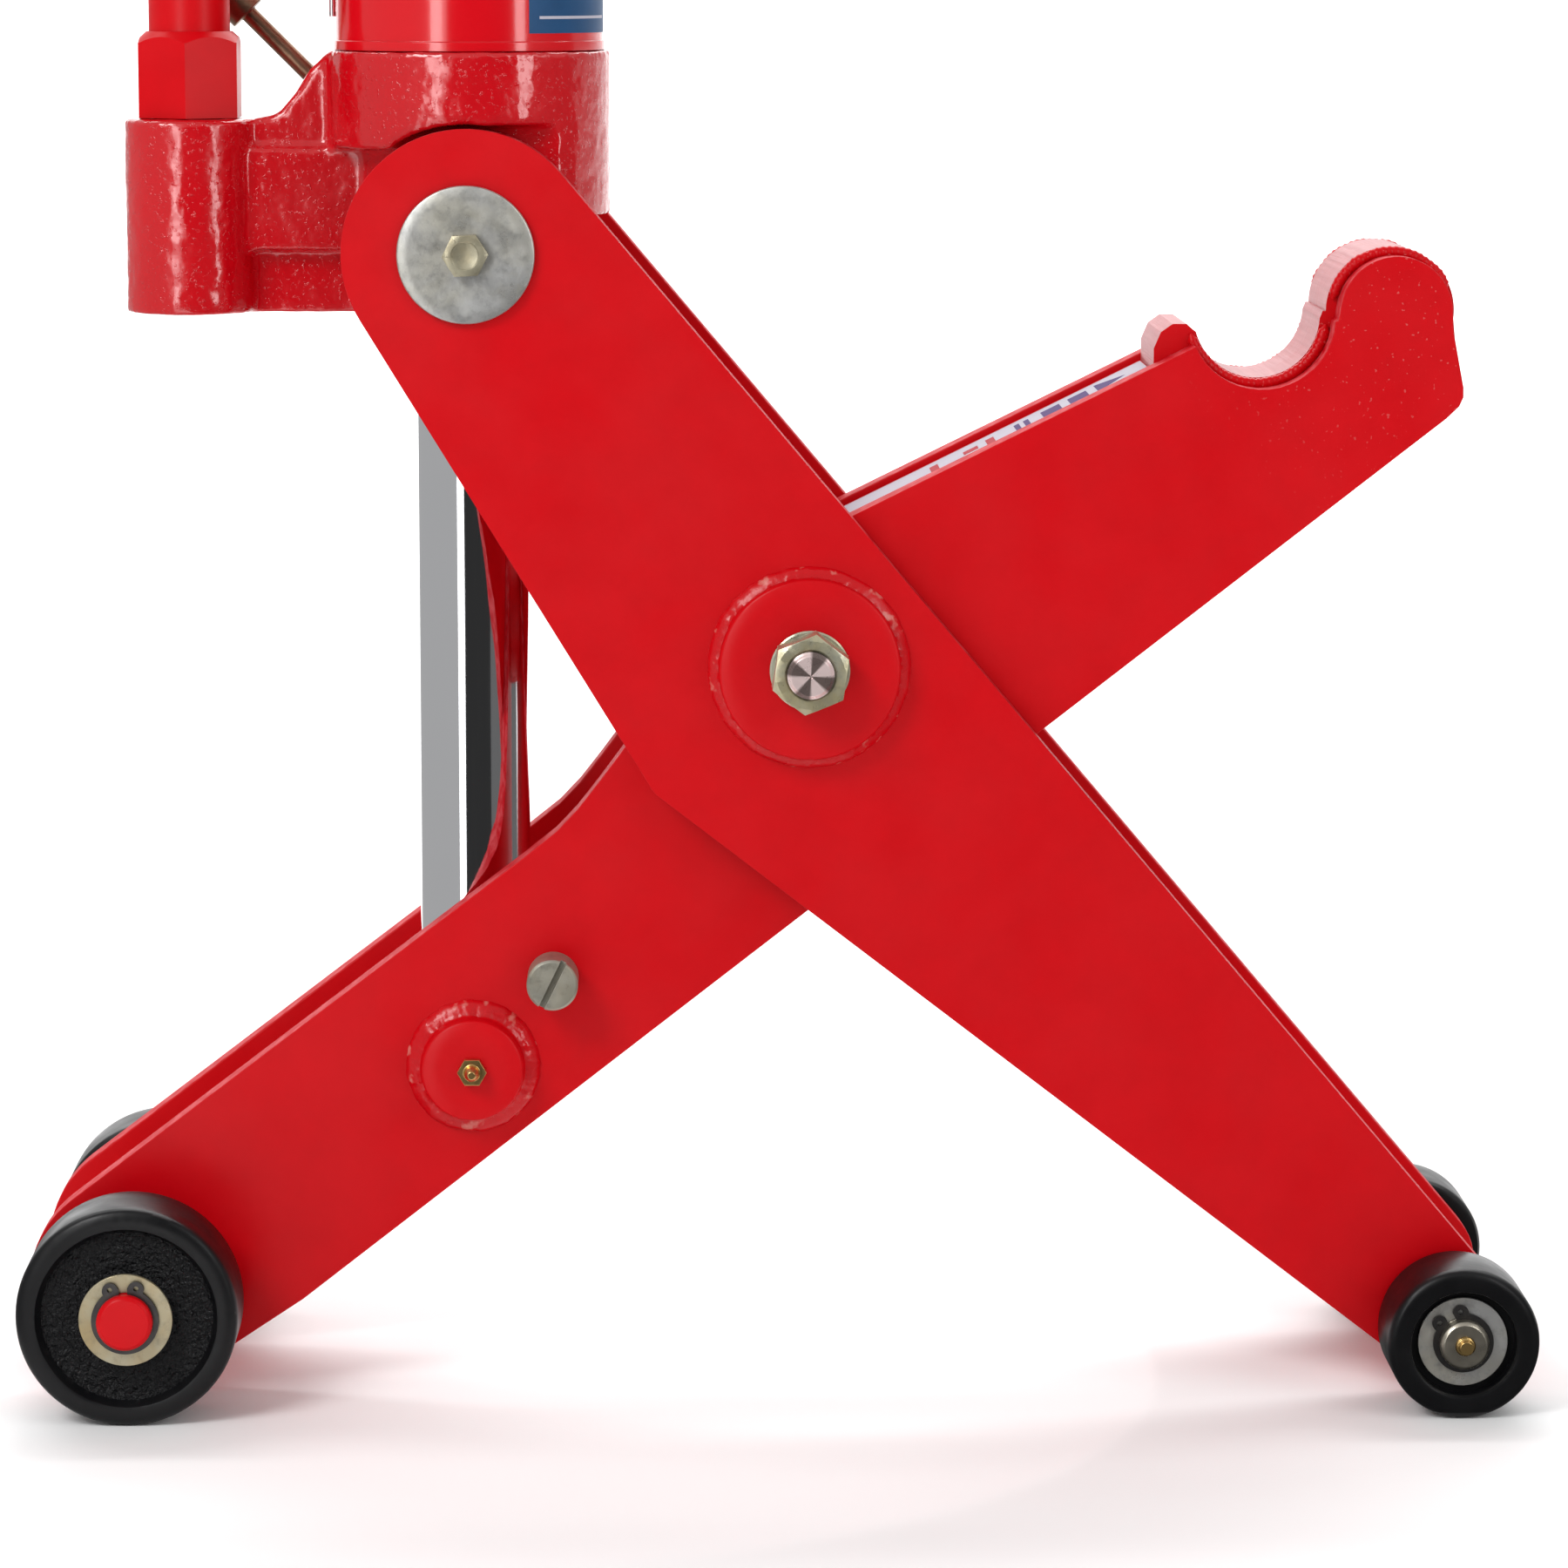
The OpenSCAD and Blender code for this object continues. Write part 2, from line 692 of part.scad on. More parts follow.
rear_axle();
rear_washer_near();
rear_washer_far();
rear_circlip_near();
rear_circlip_far();
rear_roller_near();
rear_roller_far();
front_roller_near();
front_roller_far();
lift_plate_near();
lift_plate_far();
saddle_block();
top_web();
height_label();
lift_axle_tube();
pivot_tube();
lower_pin();
lower_boss_near();
lower_boss_far();
lower_nipple();
stop_stud_near();
stop_stud_far();
side_plate_near();
side_plate_far();
pivot_disc_near();
pivot_disc_far();
pivot_shaft();
pivot_nut_near();
pivot_nut_far();
front_axle();
front_tie_tube();
front_washer_near();
front_washer_far();
front_circlip_near();
front_circlip_far();
front_nipple_near();
front_nipple_far();
pump_block();
reservoir_tube();
pressure_cylinder();
top_cap();
gland();
rod_wiper();
trunnion_washer_near();
trunnion_washer_far();
trunnion_bolt_near();
trunnion_bolt_far();
pump_cylinder();
filler_plug();
carry_handle();
lever_bracket();
fulcrum_pin();
wire_clip();
ram_rod();
ram_piston();
piston_seal();
pump_plunger();
lever_socket();
release_spindle();
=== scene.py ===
import json
import math

import bmesh
import bpy
import numpy as np
from mathutils import Matrix, Vector, noise


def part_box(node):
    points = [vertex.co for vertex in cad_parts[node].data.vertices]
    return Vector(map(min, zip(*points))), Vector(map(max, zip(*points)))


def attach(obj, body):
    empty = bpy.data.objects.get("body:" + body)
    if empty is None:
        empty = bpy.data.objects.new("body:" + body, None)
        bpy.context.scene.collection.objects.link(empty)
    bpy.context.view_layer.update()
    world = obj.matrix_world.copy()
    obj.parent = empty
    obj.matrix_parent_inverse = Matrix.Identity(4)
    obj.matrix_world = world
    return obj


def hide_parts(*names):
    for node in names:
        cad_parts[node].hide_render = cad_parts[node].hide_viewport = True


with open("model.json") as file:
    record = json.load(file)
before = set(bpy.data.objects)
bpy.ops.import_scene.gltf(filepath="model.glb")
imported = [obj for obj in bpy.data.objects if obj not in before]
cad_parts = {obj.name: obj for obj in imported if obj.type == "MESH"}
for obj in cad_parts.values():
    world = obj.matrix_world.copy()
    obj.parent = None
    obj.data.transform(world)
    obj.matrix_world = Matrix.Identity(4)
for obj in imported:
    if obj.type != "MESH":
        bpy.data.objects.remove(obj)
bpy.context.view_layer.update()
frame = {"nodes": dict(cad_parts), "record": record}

# A hydraulic scissor jack, dressed around its CAD frame. X runs along the jack, Y across it and Z up.
# Positions are in metres. Profiles and hexagon sizes are in millimetres, as in the CAD.

MM = 0.001
SIDES = (("near", -1), ("far", 1))
nodes = frame["nodes"]
body_of_node = {node: body for body, held in frame["record"]["behaviour"]["bodies"].items() for node in held}
slot_of_node = {part["node"]: part["material_slot"] for part in frame["record"]["subparts"]}


def middle(node):
    low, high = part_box(node)
    return (low + high) / 2


def reach(node, end=1):
    """Where the node's box starts (0) or ends (1) across the jack, in millimetres."""
    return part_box(node)[end].y * 1000


PIVOT = middle("pivot_shaft")
RAM_PIN = middle("lower_pin")
TRUNNION = middle("trunnion_bolt_near")
REAR = middle("rear_axle")
FRONT = middle("front_axle")
SEAT = Vector((PIVOT.x + 0.192, 0, PIVOT.z + 0.1475))
NOSE = Vector((PIVOT.x + 0.249, 0, PIVOT.z + 0.149))

# outer faces of the plates, and the two faces of the rollers
LIFT_FACE = reach("lift_plate_far")
SIDE_FACE = reach("side_plate_far")
ROLLER_IN = reach("rear_roller_far", 0)
ROLLER_OUT = reach("rear_roller_far")


# ---------------------------------------------------------------- camera
def make_camera():
    """A long lens on the near side, a little above the hook and looking slightly down."""
    data = bpy.data.cameras.new("camera")
    data.sensor_width = 36
    data.lens = 121.28
    data.shift_y = -0.08
    data.clip_start = 0.05
    data.clip_end = 80
    camera = bpy.data.objects.new("camera", data)
    bpy.context.scene.collection.objects.link(camera)
    camera.location = (PIVOT.x - 0.05982, -2.28319, 0.6186)
    yaw, pitch, roll = 0.02209, 0.13259, 0.00042
    heading = Matrix.Rotation(-yaw, 3, "Z")
    tilt = Matrix.Rotation(math.pi / 2 - pitch, 3, "X")
    camera.rotation_mode = "QUATERNION"
    camera.rotation_quaternion = (heading @ tilt @ Matrix.Rotation(roll, 3, "Z")).to_quaternion()
    bpy.context.scene.camera = camera


make_camera()


# ---------------------------------------------------------------- material kit
class Mat:
    """A Principled material, with short calls for the nodes that feed it."""

    def __init__(self, name, **values):
        self.material = bpy.data.materials.new(name)
        self.material.use_nodes = True
        self.tree = self.material.node_tree
        self.shader = self.tree.nodes["Principled BSDF"]
        self.coords = self.tree.nodes.new("ShaderNodeTexCoord").outputs["Object"]
        for key, value in values.items():
            self.shader.inputs[key.replace("_", " ")].default_value = value

    def node(self, kind, **values):
        """A shader node; each value goes to the input of that name, or else to the property."""
        new = self.tree.nodes.new("ShaderNode" + kind)
        for key, value in values.items():
            socket = key.replace("_", " ")
            if socket in new.inputs:
                new.inputs[socket].default_value = value
            else:
                setattr(new, key, value)
        return new

    def link(self, source, target):
        self.tree.links.new(source, target)

    def feed(self, value, target):
        """Links a socket, or sets a number or a colour."""
        if isinstance(value, (int, float)):
            target.default_value = value
        elif isinstance(value, tuple):
            target.default_value = (*value, 1)
        else:
            self.link(value, target)

    def mapped(self, scale):
        mapping = self.node("Mapping", Scale=scale)
        self.link(self.coords, mapping.inputs["Vector"])
        return mapping.outputs["Vector"]

    def noise(self, scale, detail=3, rough=0.5, vec=None, distortion=0.0):
        new = self.node("TexNoise", Scale=scale, Detail=detail, Roughness=rough, Distortion=distortion)
        self.link(vec or self.coords, new.inputs["Vector"])
        return new.outputs["Fac"]

    def voronoi(self, scale):
        new = self.node("TexVoronoi", Scale=scale)
        self.link(self.coords, new.inputs["Vector"])
        return new.outputs["Distance"]

    def ramp(self, fac, start, end):
        """A colour ramp between two (position, colour) stops."""
        new = self.node("ValToRGB")
        for element, (position, colour) in zip(new.color_ramp.elements, (start, end)):
            element.position = position
            element.color = (*colour, 1)
        self.link(fac, new.inputs["Fac"])
        return new.outputs["Color"]

    def span(self, fac, low, high, a=0.0, b=1.0):
        """Maps low..high to a..b, and holds the ends."""
        new = self.node("MapRange", From_Min=low, From_Max=high, To_Min=a, To_Max=b)
        self.link(fac, new.inputs["Value"])
        return new.outputs["Result"]

    def calc(self, operation, a, b=0.5):
        new = self.node("Math", operation=operation)
        self.feed(a, new.inputs[0])
        self.feed(b, new.inputs[1])
        return new.outputs[0]

    def mix(self, fac, a, b):
        new = self.node("Mix", data_type="RGBA")
        fac_in, a_in, b_in = new.inputs[0], new.inputs[6], new.inputs[7]
        self.feed(fac, fac_in)
        self.feed(a, a_in)
        self.feed(b, b_in)
        return new.outputs[2]

    def bump(self, height, distance, strength):
        """Adds a bump on top of those already there."""
        new = self.node("Bump", Distance=distance, Strength=strength)
        self.link(height, new.inputs["Height"])
        normal = self.shader.inputs["Normal"]
        if normal.is_linked:
            self.link(normal.links[0].from_socket, new.inputs["Normal"])
        self.link(new.outputs["Normal"], normal)

    def colour(self, socket):
        self.link(socket, self.shader.inputs["Base Color"])

    def rough(self, noise_socket, a, b):
        """Roughness from a to b, patchy as the noise."""
        self.link(self.span(noise_socket, 0.3, 0.7, a, b), self.shader.inputs["Roughness"])


def scaled(colour, factor):
    return tuple(part * factor for part in colour)


# ---------------------------------------------------------------- materials
def red_plate():
    """Sprayed paint on flat plate, with small chips around the hook."""
    mat = Mat("red_plate", Roughness=0.34, Specular_IOR_Level=0.14)
    fine = mat.noise(55, 4, 0.6)
    base = mat.mix(mat.noise(7, 2), (0.54, 0.0005, 0.004), (0.61, 0.0008, 0.005))
    red = mat.mix(mat.span(fine, 0.35, 0.7, 0, 0.3), base, (0.46, 0.0005, 0.003))
    hook_centre = (0.262, 0, 0.47)
    distance = mat.node("VectorMath", operation="DISTANCE")
    distance.inputs[1].default_value = hook_centre
    mat.link(mat.coords, distance.inputs[0])
    near_hook = mat.span(distance.outputs["Value"], 0.04, 0.11, 0.5, 0)
    chips = mat.calc("MULTIPLY", mat.span(mat.noise(560, 1), 0.7, 0.74), near_hook)
    mat.colour(mat.mix(chips, red, (0.62, 0.16, 0.15)))
    mat.rough(mat.noise(24, 3), 0.28, 0.42)
    mat.bump(mat.noise(90, 3), 0.00012, 0.35)
    mat.bump(mat.noise(9, 2), 0.0012, 0.12)
    return mat.material


def red_weld():
    """Paint on a weld, with pale highlights painted into its colour in patches."""
    mat = Mat("red_weld", Roughness=0.22, Specular_IOR_Level=0.36)
    # painted highlight: where the noise peaks, the red turns pale pink, standing in for the glints on the
    # weld
    painted_highlight = mat.span(mat.noise(130, 3), 0.6, 0.68, 0, 0.6)
    mat.colour(mat.mix(painted_highlight, (0.54, 0.001, 0.005), (0.66, 0.24, 0.2)))
    mat.rough(mat.noise(60, 3), 0.16, 0.34)
    mat.bump(mat.noise(180, 3), 0.0007, 0.6)
    return mat.material


def red_edge():
    """Thin paint on the cut edges of the plates."""
    mat = Mat("red_edge", Roughness=0.55, Specular_IOR_Level=0.08)
    mat.colour(mat.mix(mat.span(mat.noise(160, 3), 0.4, 0.7), (0.5, 0.003, 0.01), (0.62, 0.07, 0.08)))
    mat.bump(mat.noise(240, 2), 0.0003, 0.5)
    return mat.material


def red_cast():
    """Thick gloss paint over a sand casting."""
    mat = Mat("red_cast", Roughness=0.2, Coat_Weight=0.5, Coat_Roughness=0.04)
    mat.colour(mat.mix(mat.noise(18, 3), (0.46, 0.001, 0.005), (0.58, 0.0015, 0.007)))
    mat.bump(mat.noise(190, 1, 0.4), 0.0009, 0.5)
    mat.bump(mat.span(mat.noise(520, 2, 0.5), 0.6, 0.75), 0.0004, 0.6)
    mat.rough(mat.noise(40, 2), 0.12, 0.22)
    return mat.material


def red_tube():
    """Smooth gloss paint on drawn tube."""
    mat = Mat("red_tube", Roughness=0.16, Coat_Weight=0.3, Coat_Roughness=0.05)
    mat.colour(mat.mix(mat.noise(6, 2), (0.58, 0.001, 0.006), (0.64, 0.002, 0.008)))
    mat.bump(mat.noise(30, 2), 0.0006, 0.12)
    mat.rough(mat.noise(14, 3), 0.12, 0.2)
    return mat.material


def flame_cut():
    """The dusty pink rim of the saddle block, with the drag lines of the torch across it."""
    mat = Mat("flame_cut", Roughness=0.42)
    lines = mat.noise(1, 3, 0.5, vec=mat.mapped((420, 14, 420)))
    tone = mat.mix(mat.noise(45, 4), (0.46, 0.045, 0.055), (0.5, 0.19, 0.2))
    mat.colour(mat.mix(mat.span(lines, 0.35, 0.65, 0, 0.7), tone, (0.4, 0.07, 0.08)))
    mat.bump(lines, 0.0009, 0.7)
    mat.bump(mat.noise(300, 3), 0.0004, 0.4)
    return mat.material


def black_cast():
    """The rough recess of a rear roller."""
    mat = Mat("black_cast", Roughness=0.4, Specular_IOR_Level=0.17)
    mat.colour(mat.mix(mat.noise(70, 4), (0.002, 0.002, 0.0025), (0.007, 0.007, 0.008)))
    mat.bump(mat.noise(560, 2, 0.5), 0.0022, 1.0)
    mat.bump(mat.voronoi(300), 0.0008, 0.5)
    mat.rough(mat.noise(120, 3), 0.26, 0.46)
    return mat.material


def black_turned():
    """The smooth tread and rims of the rollers."""
    mat = Mat("black_turned", Roughness=0.34, Specular_IOR_Level=0.24)
    mat.colour(mat.mix(mat.noise(60, 4), (0.002, 0.002, 0.0025), (0.006, 0.006, 0.007)))
    mat.bump(mat.noise(120, 3), 0.0003, 0.4)
    mat.rough(mat.noise(50, 3), 0.28, 0.46)
    return mat.material


def zinc(name, tint, warm, amount, rough):
    """Zinc plate with warm blotches and dark specks."""
    mat = Mat(name, Metallic=0.6, Roughness=rough)
    blotch = mat.span(mat.noise(38, 4, 0.6, distortion=0.4), 0.38, 0.66, 0, amount)
    speck = mat.span(mat.noise(170, 5, 0.7), 0.5, 0.72, 0, 0.55)
    mat.colour(mat.mix(speck, mat.mix(blotch, tint, warm), scaled(tint, 0.45)))
    mat.rough(mat.noise(110, 4), rough - 0.1, rough + 0.14)
    mat.bump(mat.noise(420, 3), 0.0002, 0.4)
    mat.bump(mat.noise(60, 3), 0.0004, 0.2)
    return mat.material


def turned(name, tint, rough):
    """Bare metal with the faint roughness that turning leaves."""
    mat = Mat(name, Metallic=1.0, Roughness=rough)
    mat.colour(mat.mix(mat.noise(30, 3), tint, scaled(tint, 0.86)))
    mat.rough(mat.noise(200, 3), rough - 0.06, rough + 0.1)
    mat.bump(mat.noise(1, 2, vec=mat.mapped((300, 300, 300))), 0.0001, 0.4)
    return mat.material


def faced_end():
    """The faced end of the pivot shaft, its sheen painted in as a highlight: bright and dark sectors run out
    from its centre.
    """
    mat = Mat("pin_end", Metallic=0.5, Roughness=0.32)
    centred = mat.node("Mapping", vector_type="TEXTURE", Location=PIVOT, Rotation=(math.pi / 2, 0, 0))
    mat.link(mat.coords, centred.inputs["Vector"])
    highlight_fan = mat.node("TexGradient", gradient_type="RADIAL")
    mat.link(centred.outputs["Vector"], highlight_fan.inputs["Vector"])
    sectors = 4
    # painted highlight: a sine of the heading about the centre gives the bright and dark sectors
    wave = mat.calc("SINE", mat.calc("MULTIPLY", highlight_fan.outputs["Fac"], sectors * 2 * math.pi))
    mat.colour(mat.ramp(mat.span(wave, -1, 1), (0.3, (0.16, 0.12, 0.11)), (0.62, (0.85, 0.68, 0.66))))
    mat.rough(mat.noise(200, 3), 0.22, 0.36)
    mat.bump(mat.noise(1, 2, vec=mat.mapped((300, 300, 300))), 0.0001, 0.4)
    return mat.material


def chrome():
    """Ground and chromed rod, with faint streaks along its length."""
    mat = Mat("chrome", Metallic=1.0, Roughness=0.05)
    mat.colour(mat.mix(mat.noise(12, 2), (0.8, 0.81, 0.83), (0.86, 0.86, 0.88)))
    mat.rough(mat.noise(1, 3, vec=mat.mapped((900, 900, 12))), 0.03, 0.1)
    mat.bump(mat.noise(1, 2, vec=mat.mapped((120, 120, 900))), 0.00003, 0.25)
    return mat.material


def speckled(name, dark, light, noise_scale, bump, **values):
    """Two close tones and a fine grain; noise_scale and bump are for the tones and the grain."""
    mat = Mat(name, **values)
    mat.colour(mat.mix(mat.noise(*noise_scale), dark, light))
    scale, detail, distance, strength = bump
    mat.bump(mat.noise(scale, detail), distance, strength)
    return mat.material


def vinyl(name, tint, other=None, gloss=0.03):
    """Printed film."""
    return speckled(name, tint, other or scaled(tint, 0.92), (60, 3), (40, 2, 0.0002, 0.3),
                    Roughness=0.5, Specular_IOR_Level=gloss)


LOOK = {
    "plate": red_plate(),
    "edge": red_edge(),
    "weld": red_weld(),
    "cast": red_cast(),
    "tube": red_tube(),
    "flame": flame_cut(),
    "black_cast": black_cast(),
    "black_turned": black_turned(),
    "zinc": zinc("zinc", (0.44, 0.44, 0.43), (0.5, 0.47, 0.36), 0.5, 0.36),
    "yellow": zinc("yellow_zinc", (0.38, 0.35, 0.25), (0.36, 0.27, 0.13), 0.8, 0.36),
    "stud": zinc("stud_zinc", (0.34, 0.33, 0.28), (0.36, 0.31, 0.2), 0.6, 0.42),
    "nut": zinc("nut_zinc", (0.5, 0.5, 0.4), (0.5, 0.43, 0.22), 0.8, 0.3),
    "pin_end": faced_end(),
    "axle_end": turned("axle_end", (0.5, 0.46, 0.38), 0.3),
    "steel": turned("steel", (0.5, 0.5, 0.52), 0.35),
    "chrome": chrome(),
    "brass": speckled("brass", (0.72, 0.5, 0.2), (0.56, 0.36, 0.13), (120, 4), (500, 3, 0.0002, 0.4),
                      Metallic=1.0, Roughness=0.28),
    "spring": speckled("black_steel", (0.03, 0.03, 0.033), (0.08, 0.075, 0.07), (160, 3),
                       (400, 2, 0.0002, 0.4), Metallic=0.8, Roughness=0.4),
    "bronze": speckled("bronzed", (0.12, 0.075, 0.045), (0.3, 0.19, 0.12), (90, 4), (350, 3, 0.0003, 0.5),
                       Metallic=0.9, Roughness=0.36),
    "black_paint": speckled("black_paint", (0.012, 0.012, 0.013), (0.025, 0.025, 0.027), (40, 3),
                            (180, 3, 0.0003, 0.4), Roughness=0.36, Coat_Weight=0.2),
    "rubber": speckled("rubber", (0.012, 0.012, 0.012), (0.03, 0.03, 0.03), (90, 4), (300, 3, 0.0004, 0.5),
                       Roughness=0.7),
    "label": vinyl("label_white", (0.5, 0.49, 0.56)),
    "purple": vinyl("label_purple", (0.07, 0.035, 0.16)),
    "label_red": vinyl("label_red", (0.42, 0.02, 0.035)),
    "blue": vinyl("label_blue", (0.005, 0.075, 0.21), (0.003, 0.05, 0.14), 0.3),
}

LOOK_OF_SLOT = {
    "red_paint": "plate", "red_cast": "cast", "red_tube": "tube", "flame_cut": "flame",
    "black_cast": "black_cast", "black_turned": "black_turned", "black_paint": "black_paint",
    "zinc": "zinc", "yellow_zinc": "yellow", "brass": "brass", "chrome": "chrome", "steel": "steel",
    "spring_steel": "spring", "bronzed": "bronze", "rubber": "rubber", "label": "label",
}


def look_of(node):
    return LOOK[LOOK_OF_SLOT[slot_of_node[node]]]


# ---------------------------------------------------------------- geometry kit
def link(obj):
    bpy.context.scene.collection.objects.link(obj)
    return obj


def shade(mesh, angle):
    """Smooth shading, sharp where faces meet at more than the angle in degrees."""
    mesh.polygons.foreach_set("use_smooth", [True] * len(mesh.polygons))
    mesh.set_sharp_from_angle(angle=math.radians(angle))


def apply_modifiers(obj):
    evaluated = obj.evaluated_get(bpy.context.evaluated_depsgraph_get())
    mesh = bpy.data.meshes.new_from_object(evaluated)
    old = obj.data
    obj.modifiers.clear()
    obj.data = mesh
    bpy.data.meshes.remove(old)


def mesh_from(bm, name, mats):
    mesh = bpy.data.meshes.new(name)
    bm.to_mesh(mesh)
    bm.free()
    for mat in mats:
        mesh.materials.append(mat)
    return mesh


def copy_of(node, name, mats):
    """A new object with the CAD node's surface, its flat faces joined."""
    bm = bmesh.new()
    bm.from_mesh(nodes[node].data)
    bmesh.ops.remove_doubles(bm, verts=bm.verts, dist=1e-6)
    bmesh.ops.dissolve_limit(bm, angle_limit=math.radians(0.5), verts=bm.verts, edges=bm.edges)
    return link(bpy.data.objects.new(name, mesh_from(bm, name, mats)))


def stand_in(obj, node):
    """Puts the object in place of a CAD node, on its body."""
    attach(obj, body_of_node[node])
    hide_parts(node)


def bevelled(node, mat, width_mm, segments=2, angle=30, rim=None):
    """The CAD node with its edges broken; rim is the look of the faces that don't face across the jack."""
    obj = copy_of(node, node + "_skin", [mat, rim] if rim else [mat])
    if rim:
        for face in obj.data.polygons:
            face.material_index = int(abs(face.normal.y) < 0.5)
    bevel = obj.modifiers.new("bevel", "BEVEL")
    bevel.width = width_mm * MM
    bevel.segments = segments
    bevel.limit_method = "ANGLE"
    bevel.angle_limit = math.radians(angle)
    bevel.use_clamp_overlap = True
    bevel.miter_outer = "MITER_ARC"
    apply_modifiers(obj)
    shade(obj.data, 40)
    weighted = obj.modifiers.new("weighted", "WEIGHTED_NORMAL")
    weighted.keep_sharp = True
    weighted.weight = 100
    apply_modifiers(obj)
    stand_in(obj, node)
    return obj


def mesh_piece(name, bm, mats, body, angle=35):
    mesh = mesh_from(bm, name, mats)
    shade(mesh, angle)
    obj = link(bpy.data.objects.new(name, mesh))
    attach(obj, body)
    return obj


def skin_rings(bm, rings, wrap, index_of=None):
    """Joins rings with quads. With wrap the last ring meets the first, and otherwise both ends are capped."""
    for i in range(len(rings) if wrap else len(rings) - 1):
        low, high = rings[i], rings[(i + 1) % len(rings)]
        for j in range(len(low)):
            after = (j + 1) % len(low)
            face = bm.faces.new((low[j], low[after], high[after], high[j]))
            if index_of:
                face.material_index = index_of(i)
    if not wrap:
        bm.faces.new(rings[0])
        bm.faces.new(rings[-1])
    bmesh.ops.recalc_face_normals(bm, faces=bm.faces)


def about(point, side, radius, angle, out):
    """The place at radius and angle about the Y axis through point, and out from the middle of the jack."""
    r = radius * MM
    return Vector((point.x + r * math.cos(angle), side * (out * MM), point.z + r * math.sin(angle)))


def turn_of(j, count):
    return 2 * math.pi * j / count


def lathe(name, point, side, profile, mats, body, segs=96, wobble=None, index_of=None, closed=True,
          angle=35):
    """Turns (radius, out) points about the Y axis. wobble(i, a) moves row i by (radius, out) at angle a."""
    bm = bmesh.new()
    rings = []
    for i, (radius, out) in enumerate(profile):
        ring = []
        for j in range(segs):
            a = turn_of(j, segs)
            more, further = wobble(i, a) if wobble else (0, 0)
            ring.append(bm.verts.new(about(point, side, radius + more, a, out + further)))
        rings.append(ring)
    skin_rings(bm, rings, closed, index_of)
    return mesh_piece(name, bm, mats, body, angle)


def hex_radius(flats, a):
    return flats / 2 / math.cos((a % (math.pi / 3)) - math.pi / 6)


def hex_head(name, point, side, flats, foot, top, turn, mat, body, bore=0, dish=0, flange=None):
    """A nut with a bore, or a head with a dish, and a turned chamfer. flange is its (radius, height)."""
    segs = 120
    corner = flats / 2 * 0.97

    def outline(a):
        r = hex_radius(flats, a)
        rim = top - max(0.0, r - corner) * math.tan(math.radians(28))
        if flange:
            wide, over = flange[0], foot + flange[1]
            points = [(wide - 0.5, foot), (wide, foot + 0.5), (wide, over - 0.5), (wide - 0.7, over)]
            points += [(r + 0.2, over + 0.01), (r, over + 0.3)]
        else:
            points = [(r, foot)]
        points += [(r, rim), (min(corner, r) - 0.1, top - 0.02)]
        if bore:
            return points + [(bore + 0.9, top), (bore, top - 0.9), (bore, foot)]
        return points + [(dish + 0.6, top), (dish, top - 0.5), (dish * 0.4, top - 1.3), (0.02, top - 1.4)]

    bm = bmesh.new()
    outlines = [outline(turn_of(j, segs)) for j in range(segs)]
    rings = [
        [bm.verts.new(about(point, side, outlines[j][i][0], turn_of(j, segs) + turn, outlines[j][i][1]))
         for j in range(segs)]
        for i in range(len(outlines[0]))
    ]
    skin_rings(bm, rings, bool(bore))
    return mesh_piece(name, bm, [mat], body, 25)


def lumps(a, count, seed, amount):
    """Smooth noise around a circle, about count lumps to a radian."""
    return amount * noise.noise(Vector((math.cos(a) * count, math.sin(a) * count, seed)))


def bead(name, path, radius, mat, body, seed):
    """A weld bead: a tube along the path whose radius ripples and wanders, thinner at both ends."""
    step, pitch, ripple, wander, sides = 0.7 * MM, 2.6 * MM, 0.16, 0.22, 12
    points = [Vector(p) for p in path]
    dense, run = [], 0.0
    for a, b in zip(points, points[1:]):
        length = (b - a).length
        count = max(1, round(length / step))
        dense += [(a.lerp(b, i / count), run + length * i / count) for i in range(count)]
        run += length
    dense.append((points[-1], run))
    bm = bmesh.new()
    rings = []
    for i, (p, d) in enumerate(dense):
        ahead = dense[min(i + 1, len(dense) - 1)][0]
        behind = dense[max(i - 1, 0)][0]
        along = (ahead - behind).normalized()
        u = along.cross(Vector((0, 1, 0))).normalized()
        v = along.cross(u)
        wave = 0.5 + 0.5 * math.cos(2 * math.pi * d / pitch)
        r = radius * (1 - ripple * (1 - wave) + wander * noise.noise(Vector((d * 130, seed, 0))))
        r *= min(1.0, 0.25 + min(d, run - d) / (radius * 1.6))
        turns = [turn_of(k, sides) for k in range(sides)]
        rings.append([bm.verts.new(p + (u * math.cos(w) + v * math.sin(w)) * r) for w in turns])
    skin_rings(bm, rings, False)
    return mesh_piece(name, bm, [mat], body, 60)


# ---------------------------------------------------------------- carried nodes
def paint_nodes():
    for node, obj in nodes.items():
        obj.data.materials.clear()
        obj.data.materials.append(look_of(node))
        for face in obj.data.polygons:
            face.material_index = 0
        shade(obj.data, 30)


def bevel_nodes():
    """Plates whose corners are only just broken, and the turned and bent parts."""
    for node in ("lift_plate_near", "lift_plate_far", "side_plate_near", "side_plate_far"):
        bevelled(node, LOOK["plate"], 0.9, rim=LOOK["edge"])
    for node in ("top_web", "lift_axle_tube", "pivot_tube", "front_tie_tube", "lever_bracket", "lever_socket",
                 "rear_axle", "pump_cylinder", "reservoir_tube", "top_cap", "gland", "fulcrum_pin",
                 "filler_plug", "carry_handle", "pump_plunger", "ram_rod"):
        bevelled(node, look_of(node), 0.8)


